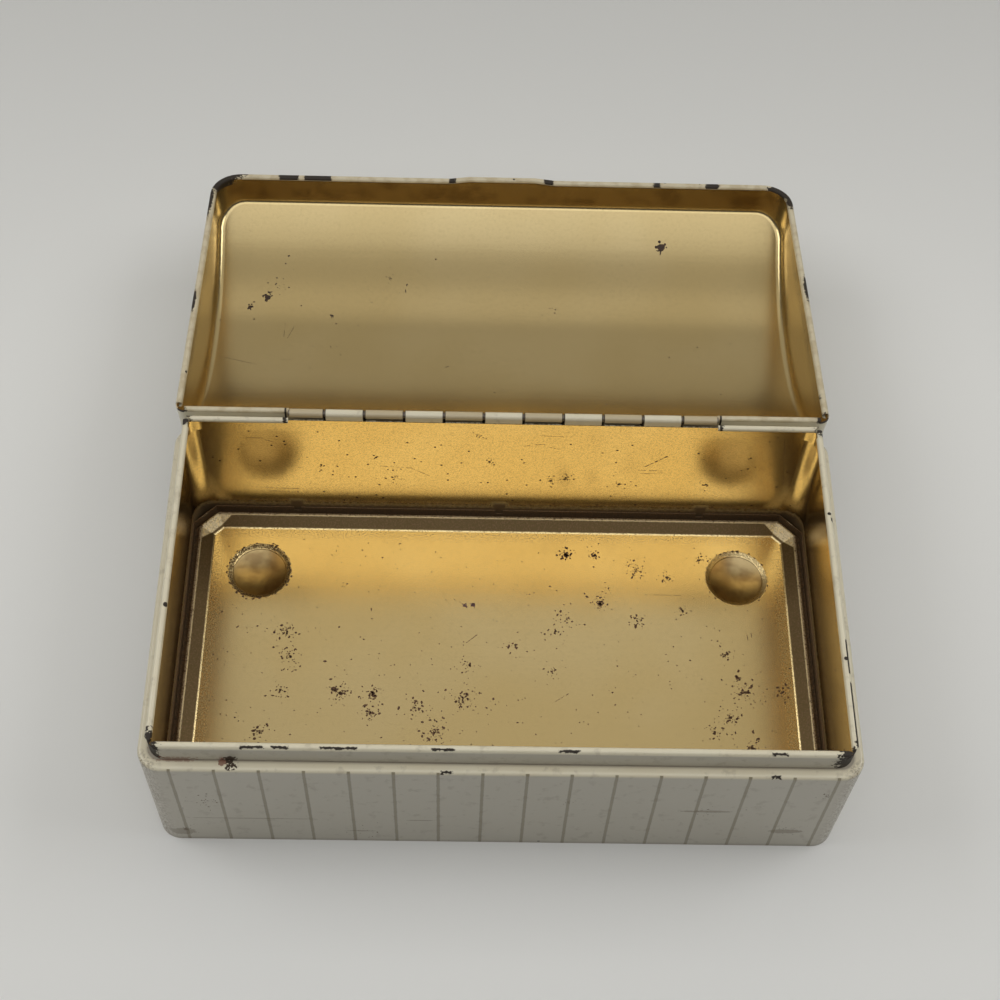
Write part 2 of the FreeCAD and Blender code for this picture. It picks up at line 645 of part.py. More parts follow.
os.makedirs("parts", exist_ok=True)
print("lid travel", sheet.get("LidTravel"))
for part in (body_wall, base_panel, hinge_pin, lid):
    shape = part.Shape
    if shape.isNull() or not shape.isValid():
        raise RuntimeError("bad shape: " + part.Label)
    print(part.Label, len(shape.Solids), "solids", round(shape.Volume, 1), "mm3",
          [round(v, 2) for v in (shape.BoundBox.XMin, shape.BoundBox.XMax, shape.BoundBox.YMin,
                                 shape.BoundBox.YMax, shape.BoundBox.ZMin, shape.BoundBox.ZMax)])
    shape.exportStep("parts/%s.step" % part.Label)
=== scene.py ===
"""Hinged casket tin, lid thrown right back: finishes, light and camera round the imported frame.

Lengths in the finishes are millimetres in the frame of the part: X along the hinge,
Y to the back, Z up, origin under the middle of the box.
"""
import bmesh
import bpy
import math
import random
from mathutils import Matrix, Vector


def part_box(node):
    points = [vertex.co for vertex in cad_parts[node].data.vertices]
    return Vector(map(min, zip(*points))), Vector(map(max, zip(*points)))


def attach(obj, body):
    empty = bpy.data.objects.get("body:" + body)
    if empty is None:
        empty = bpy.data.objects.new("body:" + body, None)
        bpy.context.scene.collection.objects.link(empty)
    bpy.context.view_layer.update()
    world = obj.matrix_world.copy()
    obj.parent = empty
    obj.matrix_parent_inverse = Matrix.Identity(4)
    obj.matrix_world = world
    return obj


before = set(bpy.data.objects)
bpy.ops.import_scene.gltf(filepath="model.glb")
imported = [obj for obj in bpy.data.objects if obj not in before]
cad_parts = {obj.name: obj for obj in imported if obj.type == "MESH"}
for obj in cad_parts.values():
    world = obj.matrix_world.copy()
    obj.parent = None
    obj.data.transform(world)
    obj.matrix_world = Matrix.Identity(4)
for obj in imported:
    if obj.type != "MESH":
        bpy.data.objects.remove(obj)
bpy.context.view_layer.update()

# ------------------------------------------------------------------ sizes, millimetres

wall_low, wall_high = [[1000 * v for v in corner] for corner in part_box("body_wall")]
HALF_LENGTH = wall_high[0]
HALF_DEPTH = -wall_low[1]
SHEET = 0.3
SHOULDER = 52.4
RIM = 61.0
WALL_CORNER = 7.0
MIDDLE = 30.0                     # half the wall's height
NECK = 3.3
CURL = 1.05                       # radius of the neck's curled edge
BACK_NECK = 1.0
BACK_CURL = 0.95
CURL_INSIDE, CURL_OUTSIDE = 0.14, 0.10    # how far a curl's facets stray from its radius
FLOOR = 1.8                       # top of the pressed panel
FOOT_X, FOOT_Y, FOOT_RADIUS = 81.0, 35.3, 10.4
AXIS_Y, AXIS_Z = 59.8, 60.1       # hinge
BACK_GAP = 0.25                   # from the level of the hinge down to the back curls
KNUCKLE = 12.7                    # pitch of the hinge's knuckles
HINGE_HALF = 70.0
THROW = math.radians(188.4)       # lid, from level and closed to thrown back
DOME_OUT, DOME_UP, DOME_RADIUS = 60.3, -69.76, 100.56    # inside of the dome, in the lid's plane
STRIPE_FIRST, STRIPE_PITCH = -95.4, 12.83
STRIPE_SIDE_FIRST = -53.4

# ------------------------------------------------------------------ colours

WHITE = (1.0, 1.0, 1.0)
WARM = (1.0, 0.95, 0.84)
CREAM = (0.76, 0.70, 0.525)
CREAM_WARM = (0.70, 0.60, 0.40)
# painted shade: the cream enamel as it looks on the vertical walls below the shoulder, darker than
# on the ledge
WALL_SHADE_GREY = (0.49, 0.455, 0.375)  # below the shoulder
# painted shade of the neck's vertical face
NECK_SHADE_GREY = tuple(0.9 * c for c in WALL_SHADE_GREY)
TAN = (0.46, 0.36, 0.20)           # enamel yellowed on the lid's rim and knuckles
TAUPE = (0.25, 0.21, 0.125)
GRIME = (0.16, 0.11, 0.055)
RUST = (0.060, 0.026, 0.011)
RUST_WARM = (0.26, 0.14, 0.06)
RUST_RED = (0.20, 0.055, 0.022)
RUST_BLACK = (0.05, 0.03, 0.015)
# near black of the bared sheet, also used as painted shade in the hinge's gaps and under the back
# curl
BARE_AND_SHADE = (0.026, 0.018, 0.011)
GOLD = (0.87, 0.69, 0.355)
GOLD_DEEP = (0.84, 0.65, 0.31)
LID_GOLD = (0.72, 0.57, 0.295)
LID_GOLD_DEEP = (0.68, 0.53, 0.26)
# painted shade of the gold on the inner side walls
SIDE_SHADE_BROWN = (0.30, 0.20, 0.09)
# painted dark reflection on the panel's bevel
BEVEL_REFLECTION_DARK = (0.075, 0.048, 0.020)
WORN_BROWN = (0.16, 0.09, 0.04)
DISH_BROWN = (0.26, 0.16, 0.07)
SKIRT_BROWN = (0.22, 0.14, 0.06)
# painted shade of the lid's gold near the hinge
HINGE_SHADE_BROWN = (0.30, 0.19, 0.08)
FLOOR_GREY = (0.62, 0.62, 0.59)
FLOOR_SEEN = (0.80, 0.80, 0.775)


# ------------------------------------------------------------------ node expressions

class Wire:
    """An output socket; arithmetic on it adds Math nodes."""

    def __init__(self, finish, socket):
        self.finish = finish
        self.socket = socket

    def math(self, operation, *values):
        return self.finish.node("Math", {"operation": operation}, *values)

    def __add__(self, other):
        return self.math("ADD", self, other)

    __radd__ = __add__

    def __sub__(self, other):
        return self.math("SUBTRACT", self, other)

    def __rsub__(self, other):
        return self.math("SUBTRACT", other, self)

    def __mul__(self, other):
        return self.math("MULTIPLY", self, other)

    __rmul__ = __mul__

    def __truediv__(self, other):
        return self.math("DIVIDE", self, other)

    def __abs__(self):
        return self.math("ABSOLUTE", self)

    def __gt__(self, other):
        return self.math("GREATER_THAN", self, other)

    def __lt__(self, other):
        return self.math("LESS_THAN", self, other)

    def __and__(self, other):
        return self.math("MINIMUM", self, other)

    def __or__(self, other):
        return self.math("MAXIMUM", self, other)

    def root(self):
        return self.math("SQRT", self)

    def fract(self):
        return self.math("FRACT", self)


class Finish:
    """A material built from node expressions."""

    def __init__(self, name):
        self.material = bpy.data.materials.new(name)
        self.material.use_nodes = True
        self.tree = self.material.node_tree
        self.tree.nodes.clear()
        self.place = self.node("TexCoord", {}, output="Object")
        self.normal = self.node("TexCoord", {}, output="Normal")
        self.mm = self.node("VectorMath", {"operation": "SCALE"}, self.place, Scale=1000.0)
        self.x, self.y, self.z = self.parts(self.mm)
        self.nx, self.ny, self.nz = self.parts(self.normal)

    def node(self, kind, settings, *inputs, output=0, **named):
        """Adds a node: settings first, then its sockets by order or by name."""
        made = self.tree.nodes.new("ShaderNode" + kind)
        for key, value in settings.items():
            setattr(made, key, value)
        slots = list(enumerate(inputs)) + [(k.replace("_", " "), v) for k, v in named.items()]
        for key, value in slots:
            self.feed(made.inputs[key], value)
        return Wire(self, made.outputs[output]) if len(made.outputs) else made

    def feed(self, socket, value):
        if isinstance(value, Wire):
            self.tree.links.new(value.socket, socket)
        elif isinstance(value, tuple) and socket.type == "RGBA":
            socket.default_value = (*value, 1.0)
        else:
            socket.default_value = value

    def parts(self, vector):
        split = self.tree.nodes.new("ShaderNodeSeparateXYZ")
        self.feed(split.inputs[0], vector)
        return [Wire(self, socket) for socket in split.outputs]

    def mix(self, factor, first, second):
        """Colour `first` where the factor is 0, `second` where it is 1."""
        made = self.tree.nodes.new("ShaderNodeMix")
        made.data_type = "RGBA"
        for key, value in ((0, factor), (6, first), (7, second)):
            self.feed(made.inputs[key], value)
        return Wire(self, made.outputs[2])

    def blend(self, factor, first, second):
        """The same for numbers."""
        return self.node("Mix", {"data_type": "FLOAT"}, factor, output=0, A=first, B=second)

    def ramp(self, value, low, high):
        """0 below `low`, 1 above `high`, smooth between."""
        return self.node("MapRange", {"interpolation_type": "SMOOTHSTEP"}, value, low, high)

    def noise(self, scale, detail=2.0, rough=0.5, shift=(0, 0, 0), stretch=(1, 1, 1), turn=0.0):
        """Noise with `scale` cells per millimetre."""
        spot = self.node("Mapping", {}, self.mm, Location=shift, Rotation=(0, 0, turn),
                         Scale=stretch)
        return self.node("TexNoise", {}, Vector=spot, Scale=scale, Detail=detail,
                         Roughness=rough)

    def specks(self, per_mm, share, size, shift=(0, 0, 0)):
        """Round dots in some of the cells; share 0 to 1, size in millimetres."""
        spot = self.node("Mapping", {}, self.mm, Location=shift)
        cells = self.node("TexVoronoi", {}, Vector=spot, Scale=per_mm, Randomness=1.0)
        tint = self.parts(Wire(self, cells.socket.node.outputs["Color"]))
        return (cells < size * per_mm * (0.4 + tint[1])) & (tint[0] < share)

    def on_curl(self, across, height, radius):
        """1 on the sheet of a curled edge, from its middle's offsets across and in height."""
        reach = (across * across + height * height).root()
        return (reach > radius - CURL_INSIDE) & (reach < radius + CURL_OUTSIDE)

    def band(self, value, centre, outer, inner, fray=0.0):
        """1 within `inner` of the centre, 0 past `outer`; `fray` moves the edge."""
        return self.ramp(abs(value - centre) + fray, outer, inner)

    def spot(self, u, v, centre, radii, fray, ragged=1.0):
        """A ragged patch: 1 inside an ellipse whose edge is broken up by `fray`."""
        du = (u - centre[0]) / radii[0]
        dv = (v - centre[1]) / radii[1]
        reach = (du * du + dv * dv).root() + (fray - 0.5) * (2 * ragged)
        return self.ramp(reach, 1.08, 0.9)

    def finish(self, color, roughness, metallic=0.0, coat=0.0, height=None, depth=0.0001):
        links = {}
        if height is not None:
            links["Normal"] = self.node("Bump", {}, Strength=1.0, Distance=depth, Height=height)
        surface = self.node("BsdfPrincipled", {}, Base_Color=color, Roughness=roughness,
                            Metallic=metallic, Coat_Weight=coat, Coat_Roughness=0.15,
                            **links)
        self.node("OutputMaterial", {}, surface)
        return self.material


# ------------------------------------------------------------------ shared finishes

def gold_lacquer(f, pale=GOLD, deep=GOLD_DEEP):
    """Colour, roughness and height of the gold lacquer inside, worn thin and finely scratched."""
    broad = f.noise(0.018, 2.0, 0.55)
    fine = f.noise(0.9, 2.0, 0.6)
    colour = f.mix(f.ramp(broad, 0.35, 0.65), pale, deep)
    colour = f.mix(f.ramp(fine, 0.45, 0.8) * 0.16, colour, tuple(0.62 * c for c in deep))
    rough = 0.18 + broad * 0.05 + fine * 0.05
    scratch = f.noise(0.35, 2.0, 0.6, stretch=(0.06, 1, 1), turn=0.03)
    return colour, rough, fine * 0.3 + scratch * 0.7


def rounded_inset(f, corner):
    """Distance inwards from the wall's outer face, in plan."""
    dx = abs(f.x) - (HALF_LENGTH - corner)
    dy = abs(f.y) - (HALF_DEPTH - corner)
    ex, ey = dx | 0.0, dy | 0.0
    outside = (ex * ex + ey * ey).root()
    return corner - (outside + ((dx | dy) & 0.0))


def knuckle_gap_shade(f):
    """Painted shade: black in the gaps between the hinge's knuckles."""
    gap = abs((f.x / KNUCKLE + 0.5).fract() - 0.5) * KNUCKLE
    return f.ramp(abs(gap - KNUCKLE / 2), 0.55, 0.38) * (abs(f.x) < HINGE_HALF)


def dashes(f, along, runs, fray, soft=0.5):
    """1 inside any of the runs (start, end) along an edge, with frayed ends."""
    found = 0.0
    for start, end in runs:
        reach = abs(along - (start + end) / 2) + (fray - 0.5) * 2.4
        found = f.ramp(reach, (end - start) / 2 + soft / 2, (end - start) / 2 - soft / 2) | found
    return found


# ------------------------------------------------------------------ body wall

HEM_CHIPS = ((-74.5, -67.7), (-65.6, -61.2), (-51.9, -41.3), (-20.2, -13.5), (15.8, 21.6),
             (76.6, 80.9))
SHOULDER_CHIPS = ((-17.6, -14.4), (77.4, 80.0))
RIGHT_HEM_CHIPS = ((-54.0, -33.0), (-30.0, -18.8), (-24.5, -23.2), (22.2, 23.6))
HEM_ENDS = ((69.0, 70.2),)
# bare corners of the curled edge: centre in plan, half widths
BODY_CORNER_CHIPS = (((-101.0, -55.6), (3.0, 4.6)), ((-103.6, -51.0), (1.4, 3.4)),
                     ((99.8, -56.4), (4.0, 3.0)), ((102.6, -53.4), (1.8, 4.4)),
                     ((-100.9, 56.8), (1.7, 2.2)), ((101.2, 56.6), (1.5, 2.6)))
CATCHES = ((-72.0, -67.0), (-2.5, 2.5), (67.0, 72.0))
FACE_SMUDGES = (((-75.0, 17.0), (19.0, 0.3)), ((-24.0, 17.0), (4.2, 0.35)),
                ((62.0, 27.0), (8.0, 0.8)), ((-42.0, 8.0), (4.0, 0.4)), ((88.0, 12.0), (5.0, 1.6)),
                ((-97.0, 6.0), (4.0, 2.4)))


def body_finish():
    f = Finish("enamel_outside_gold_inside")
    inset = rounded_inset(f, WALL_CORNER)
    at_front, at_back = f.y < -50.0, f.y > 50.0

    # painted side: faces that look away from the middle, and the curled edges
    away = f.x * f.nx * 0.45 + f.y * f.ny + (f.z - MIDDLE) * f.nz * 1.5 > 0.0
    curl = f.on_curl(inset - (NECK + CURL), f.z - (RIM - CURL), CURL)
    curl = curl & (f.z > RIM - 2 * CURL + 0.2)
    back_curl = f.on_curl(f.y - (HALF_DEPTH - BACK_NECK - BACK_CURL),
                          f.z - (AXIS_Z - BACK_GAP - BACK_CURL), BACK_CURL) & at_back
    hinge = (f.z > 58.0) & (f.y > 58.3)
    painted = away | curl | back_curl | hinge

    # enamel with thin stripes round the wall below the shoulder
    first = f.x - (STRIPE_FIRST - STRIPE_PITCH / 2)
    near_x = abs((first / STRIPE_PITCH).fract() - 0.5) * STRIPE_PITCH
    along_y = f.y - STRIPE_SIDE_FIRST + STRIPE_PITCH / 2 + 10 * STRIPE_PITCH
    near_y = abs((along_y / STRIPE_PITCH).fract() - 0.5) * STRIPE_PITCH
    on_long = abs(f.ny) > abs(f.nx)
    near = f.blend(on_long, near_y, near_x)
    fray = f.noise(0.5, 2.0)
    below = f.z < SHOULDER - 0.25
    stripe = f.ramp(near + (fray - 0.5) * 0.3, 0.62, 0.36) * below * (abs(f.x) < 104.0)
    mottle = f.noise(0.05, 3.0, 0.6)
    enamel = f.mix(f.ramp(mottle, 0.3, 0.75) * 0.3, CREAM, CREAM_WARM)
    # painted shade: below the shoulder the enamel turns to the darker grey cream of the shaded
    # walls
    enamel = f.mix(f.ramp(f.z, SHOULDER - 0.2, SHOULDER - 1.4) * 0.9, enamel, WALL_SHADE_GREY)
    # painted shade: the neck's vertical face takes a darker grey
    neck_face_shade = f.ramp(inset, 2.9, 3.2) * f.ramp(f.z, RIM - 1.0, RIM - 1.8)
    enamel = f.mix(neck_face_shade * 0.9, enamel, NECK_SHADE_GREY)
    enamel = f.mix(stripe * (0.75 + mottle * 0.3), enamel, TAUPE)

    # the enamel darkens at the neck's foot, along the bottom edge and at the corners, with worn
    # patches and smudges
    grain = f.noise(1.4, 2.0, 0.65)
    foot_line = f.ramp(abs(f.z - SHOULDER - 0.1), 0.9, 0.1) * f.ramp(inset, 2.2, 3.2)
    corner = (f.ramp(abs(f.x) - (HALF_LENGTH - 8.0), 0.0, 6.0)
              * f.ramp(abs(f.y) - (HALF_DEPTH - 8.0), 0.0, 6.0))
    low = f.ramp(f.z, 2.2, 0.3)
    edge_wear = f.ramp(f.noise(0.22, 3.0, 0.65, shift=(3, 1, 8)), 0.54, 0.70)
    dirt_and_darkening = (foot_line * 0.4 | corner * f.ramp(grain, 0.40, 0.66) * 0.75
            | low * 0.35 | edge_wear * 0.22)
    streak = 0.0
    broken = f.noise(0.9, 2.0, 0.65, shift=(2, 7, 4))
    for centre, radii in FACE_SMUDGES:
        streak = f.spot(f.x, f.z, centre, radii, broken, 0.55) | streak
    dirt_and_darkening = dirt_and_darkening | streak * 0.5 * (f.y < 0.0)
    enamel = f.mix(dirt_and_darkening, enamel, GRIME)

    # chips through to the bare sheet along the rims and at the front corners
    ragged = f.noise(1.1, 3.0, 0.6, shift=(11, 3, 5))
    front_rim = at_front * (f.z > RIM - 1.0) * f.band(
        inset, NECK + 0.5, 0.38, 0.24, (ragged - 0.5) * 0.9)
    chips_and_shade = dashes(f, f.x, HEM_CHIPS, ragged) * front_rim
    ledge = at_front * (f.z < SHOULDER + 0.1) * (f.z > SHOULDER - 1.1) * f.band(
        inset, 0.55, 0.42, 0.25, (ragged - 0.5) * 1.6)
    chips_and_shade = dashes(f, f.x, SHOULDER_CHIPS, ragged) * ledge | chips_and_shade
    for centre, radii in BODY_CORNER_CHIPS:
        chips_and_shade = f.spot(f.x, f.y, centre, radii, ragged, 1.3) * (f.z > SHOULDER + 0.3) | chips_and_shade
    side_rim = (abs(f.x) > 98.0) * (f.z > RIM - 1.0)
    ticks = f.specks(0.16, 0.42, 0.6, shift=(1, 4, 0)) * side_rim
    right_line = (dashes(f, f.y, RIGHT_HEM_CHIPS, ragged) * (abs(f.x - 101.35) < 0.28)
                  * (f.z > RIM - 1.0))
    bottom_nicks = f.specks(0.25, 0.25, 0.5, shift=(4, 2, 6)) * (f.z < 1.6) * (inset < 1.2)
    chips_and_shade = chips_and_shade | ticks | right_line | bottom_nicks * 0.8
    hem_ends = (f.z > 58.2) * (f.y > 56.5) * dashes(f, abs(f.x), HEM_ENDS, ragged)
    # the knuckles' gaps take painted shade
    chips_and_shade = chips_and_shade | hem_ends | hinge * knuckle_gap_shade(f)
    # painted shade: a dark line on the back wall under the back curl
    under_hem = f.band(f.z, RIM - 3.1, 0.4, 0.2, (ragged - 0.5) * 0.7) * (f.y > 56.0)
    chips_and_shade = chips_and_shade | under_hem * 0.9
    enamel = f.mix(chips_and_shade, enamel, BARE_AND_SHADE)
    red = (f.spot(f.x, inset, (-80.0, 2.6), (1.5, 0.9), ragged, 1.4)
           | f.spot(f.x, inset, (-94.0, 3.1), (5.5, 0.35), ragged, 2.2) * 0.6) * (f.z < 54.5)
    core = f.spot(f.x, f.z, (-77.8, 53.6), (1.9, 1.5), ragged, 1.3)
    enamel = f.mix(red * at_front * 0.8, enamel, RUST_RED)
    enamel = f.mix(core * at_front, enamel, RUST_BLACK)
    rusted = (core | red) * at_front

    # gold inside: dark at the foot where the panel sits, rusty round its three catches
    gold, gold_rough, gold_height = gold_lacquer(f)
    foot = f.ramp(f.z + (ragged - 0.5) * 3.0, 8.2, 5.2)
    catch = dashes(f, f.x, CATCHES, ragged, 2.0)
    catch = catch * f.ramp(f.z, 10.5, 7.5)
    gold = f.mix((foot | catch) * 0.9, gold, RUST)
    under_rim = f.ramp(f.z + (ragged - 0.5) * 1.6, RIM - 3.0, RIM - 2.0) * 0.35
    gold = f.mix(under_rim, gold, GRIME)
    corner_stain = f.ramp(inset, 4.6, 0.8) * f.ramp(grain, 0.45, 0.7) * 0.3
    gold = f.mix(corner_stain, gold, GRIME)
    # painted shade: the gold on the inner side walls is browned by their facing, the right side
    # more than the left
    sides = f.ramp(abs(f.nx), 0.6, 0.9) * f.blend(f.x < 0.0, 0.35, 0.7)
    gold = f.mix(sides, gold, SIDE_SHADE_BROWN)
    pits = f.specks(0.45, 0.10, 0.34)
    gold = f.mix(pits, gold, RUST)

    dull = foot | catch | pits
    colour = f.mix(painted, gold, enamel)
    rough = f.blend(painted, gold_rough + dull * 0.4,
                    0.32 + (chips_and_shade | dirt_and_darkening | rusted) * 0.34)
    metallic = (1 - painted) * (1 - dull * 0.85)
    height = f.blend(painted, gold_height * 0.05, grain * 0.03 - chips_and_shade * 0.25)
    coat = painted * (1 - (chips_and_shade | rusted)) * 0.4
    return f.finish(colour, rough, metallic, coat=coat, height=height, depth=0.0004)


# ------------------------------------------------------------------ base panel

def base_finish():
    f = Finish("gold_base_panel")
    gold, rough, height = gold_lacquer(f)
    ragged = f.noise(1.1, 3.0, 0.6, shift=(5, 2, 9))
    crumbs = f.noise(2.2, 2.0, 0.65)
    inset = rounded_inset(f, WALL_CORNER)

    # dull, darker metal between the wall and the pressed field; the bevel's near-black brown is a
    # painted dark reflection
    channel = f.ramp(inset, 3.9, 3.0)
    bevel = f.ramp(f.z + (ragged - 0.5) * 0.35, 4.08, 3.9) * (inset > 3.6) * f.ramp(
        f.z + (ragged - 0.5) * 0.2, FLOOR + 0.12, FLOOR + 0.35)
    ridge = f.ramp(f.z, 3.8, 4.05) * (inset > 2.6)

    # feet: dishes darkened, partly stain and partly painted shade of the hollow, with rusty edges
    fx = abs(f.x) - FOOT_X
    fy = f.y - FOOT_Y
    reach = (fx * fx + fy * fy).root()
    fray = (ragged - 0.5) * 1.6
    dish = f.ramp(reach, FOOT_RADIUS - 0.6, FOOT_RADIUS - 1.8)
    ring = f.ramp(abs(reach + fray - FOOT_RADIUS + 0.5), 1.0, 0.35)
    ring = ring * f.blend(f.x < 0.0, 0.5, 0.9) * f.ramp(crumbs, 0.3, 0.6)
    stain_and_shade = dish * (0.50 + f.ramp(f.noise(0.16, 2.0, 0.6), 0.4, 0.7) * 0.3)
    bowl = (reach & 9.0) * (reach & 9.0) * 0.042      # the dish, deeper than it is pressed

    # worn edge of the field and cream left on the corner facets and the ridge
    worn = f.ramp(crumbs, 0.50, 0.62) * f.ramp(inset + (ragged - 0.5) * 2.0, 13.0, 8.0) * 0.55
    diagonal = HALF_LENGTH + HALF_DEPTH - 17.0
    facet = f.ramp(abs(f.x) + f.y, diagonal, diagonal + 0.8) * (inset > 3.0)
    bluff = f.ramp(crumbs, 0.47, 0.56) * ridge

    bevel = bevel * (1 - facet)
    # painted reflection: the bevel turns near-black brown
    gold = f.mix(bevel * 0.96, gold, BEVEL_REFLECTION_DARK)
    gold = f.mix(facet * f.ramp(ragged, 0.62, 0.5) * 0.7, gold, CREAM_WARM)
    gold = f.mix(stain_and_shade, gold, DISH_BROWN)
    gold = f.mix(channel * 0.92, gold, f.mix(f.ramp(crumbs, 0.42, 0.66), RUST, RUST_WARM))
    gold = f.mix(bluff * 0.6, gold, CREAM_WARM)
    gold = f.mix(f.ramp(ragged, 0.56, 0.64) * ridge * 0.8, gold, RUST)
    gold = f.mix(worn, gold, WORN_BROWN)
    gold = f.mix(ring, gold, RUST)
    rusty = channel | worn * 0.8 | facet * 0.6
    return f.finish(gold, rough + (rusty | ring | stain_and_shade * 0.3 | bevel * 0.5) * 0.4,
                    1 - rusty * 0.8,
                    height=height * 0.06 + ridge * crumbs * 0.2 - ring * crumbs * 0.3 + bowl,
                    depth=0.0004)


# ------------------------------------------------------------------ lid

LID_RIM_CHIPS = ((-81.0, -74.1), (-71.9, -62.2), (-19.6, -17.0), (15.0, 18.4), (55.0, 57.4),
                 (74.0, 78.8))


LID_CORNER_CHIPS = (((-103.4, 115.8), (4.2, 4.4)), ((-98.0, 118.6), (4.6, 1.6)),
                    ((-104.8, 104.0), (1.3, 8.6)), ((101.2, 116.4), (4.4, 3.6)),
                    ((104.0, 110.4), (1.4, 4.2)), ((-103.6, 0.0), (2.6, 2.4)),
                    ((103.2, 1.5), (2.4, 3.2)), ((101.6, 12.0), (1.2, 2.2)),
                    ((104.6, 64.0), (0.9, 6.0)), ((-104.6, 52.0), (0.8, 5.0)))


def lid_finish():
    f = Finish("enamel_lid_gold_inside")
    turn = math.cos(THROW), math.sin(THROW)
    dy, dz = f.y - AXIS_Y, f.z - AXIS_Z
    # back in the closed lid's own directions: out along the lid, and up into the dome
    out = -1.0 * (dy * turn[0] - dz * turn[1])
    up = dy * turn[1] + dz * turn[0]
    n_out = -1.0 * (f.ny * turn[0] - f.nz * turn[1])
    n_up = f.ny * turn[1] + f.nz * turn[0]

    away = f.x * f.nx * 0.45 + (out - 60.0) * n_out + (up - 4.0) * n_up * 2.0 > 0.0
    hem = up < 1.5
    painted = away | hem
    mottle = f.noise(0.05, 3.0, 0.6)
    grain = f.noise(1.4, 2.0, 0.65)
    ragged = f.noise(1.1, 3.0, 0.6, shift=(2, 13, 5))
    enamel = f.mix(f.ramp(mottle, 0.3, 0.75) * 0.4, CREAM, CREAM_WARM)
    knuckle = (abs(f.x) < HINGE_HALF) * (out < 3.0)
    yellowed = hem * (0.35 + f.ramp(f.noise(0.3, 2.0), 0.4, 0.65) * 0.35) | knuckle * 0.75
    enamel = f.mix(yellowed, enamel, TAN)

    chips_and_shade = dashes(f, f.x, LID_RIM_CHIPS, ragged) * (out > 113.0) * (up < 1.3)
    for centre, radii in LID_CORNER_CHIPS:
        chips_and_shade = f.spot(f.x, out, centre, radii, ragged, 1.05) * (up < 1.8) | chips_and_shade
    ticks = f.specks(0.15, 0.35, 0.55, shift=(3, 1, 2)) * (up < 0.9)
    # painted shade in the knuckles' gaps
    chips_and_shade = chips_and_shade | ticks | knuckle * knuckle_gap_shade(f)
    left_bare = f.spot(f.x, out, (-101.5, 114.5), (5.5, 5.5), ragged, 0.8) * (up < 4.5)
    right_bare = f.spot(f.x, out, (101.5, 115.5), (4.2, 4.2), ragged, 0.9) * (up < 2.5)

    gold, gold_rough, gold_height = gold_lacquer(f, LID_GOLD, LID_GOLD_DEEP)
    # the skirt's patchy brown is partly stain, partly painted shade
    skirt = f.ramp(up, 13.0, 9.0)
    stain_and_shade = skirt * (0.25 + f.ramp(f.noise(0.12, 3.0, 0.6, shift=(6, 2, 1)), 0.45, 0.7) * 0.4)
    gold = f.mix(stain_and_shade, gold, SKIRT_BROWN)
    # painted shade: the dome's gold darkens towards the hinge
    hinge_shade = f.ramp(out, 16.0, 1.0) * 0.35
    gold = f.mix(hinge_shade, gold, HINGE_SHADE_BROWN)
    pits = f.specks(0.25, 0.05, 0.25)
    gold = f.mix(pits, gold, RUST)
    chips_and_shade = chips_and_shade * painted | left_bare | right_bare
    colour = f.mix(chips_and_shade, f.mix(painted, gold, enamel), BARE_AND_SHADE)
    rough = f.blend(painted, gold_rough, 0.32) + chips_and_shade * 0.35
    metallic = (1 - painted) * (1 - (pits | chips_and_shade))
    height = f.blend(painted, gold_height * 0.05, grain * 0.03) - chips_and_shade * 0.25
    return f.finish(colour, rough, metallic, coat=painted * (1 - chips_and_shade) * 0.4, height=height,
                    depth=0.0004)


def wire_finish():
    f = Finish("dull_wire")
    grain = f.noise(1.2, 3.0)
    return f.finish(f.mix(grain, (0.16, 0.13, 0.10), (0.34, 0.30, 0.25)), 0.45 + grain * 0.1,
                    0.8)


def crust_finish(name, dark, warm):
    """Rust and bared sheet: dull, grainy."""
    f = Finish(name)
    grain = f.noise(1.6, 3.0, 0.65)
    return f.finish(f.mix(f.ramp(grain, 0.35, 0.7), dark, warm), 0.6 + grain * 0.25, 0.0,
                    height=grain, depth=0.0001)


for node, material in (("body_wall", body_finish()), ("base_panel", base_finish()),
                       ("lid", lid_finish()), ("hinge_pin", wire_finish())):
    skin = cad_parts[node].data.materials
    skin.clear()
    skin.append(material)


# ------------------------------------------------------------------ rust and scratches

UP = Vector((0.0, 0.0, 1.0))
ALONG = Vector((1.0, 0.0, 0.0))
CRUST = 0.05                      # thickness of a crust, a fifth of it in the surface
FRONT_FLAT, FRONT_LOW = 96.5, 1.2      # the flat of the front wall: half its width, its foot


def on_panel(x, y):
    """Place and facing of a point on the pressed panel's field."""
    return Vector((x, y, FLOOR)), UP


def on_back_wall(x, z):
    inset = SHEET + (BACK_NECK if z > SHOULDER else 0.0)
    return Vector((x, HALF_DEPTH - inset, z)), Vector((0.0, -1.0, 0.0))


def on_front(x, z):
    """The same on the flat of the front wall; a place past its edge is turned back in."""
    x = math.copysign(FRONT_FLAT - abs(FRONT_FLAT - abs(x)), x)
    z = FRONT_LOW + abs(z - FRONT_LOW)
    return Vector((x, -HALF_DEPTH, z)), Vector((0.0, -1.0, 0.0))


def in_lid(x, out):
    """The same on the inside of the thrown-back dome, `out` from the hinge."""
    run = out - DOME_OUT
    rise = math.sqrt(DOME_RADIUS ** 2 - run ** 2)
    up = DOME_UP + rise
    c, s = math.cos(THROW), math.sin(THROW)
    place = Vector((x, AXIS_Y - c * out + s * up, AXIS_Z + s * out + c * up))
    inward = Vector((0.0, c * run - s * rise, -s * run - c * rise)).normalized()
    return place, inward


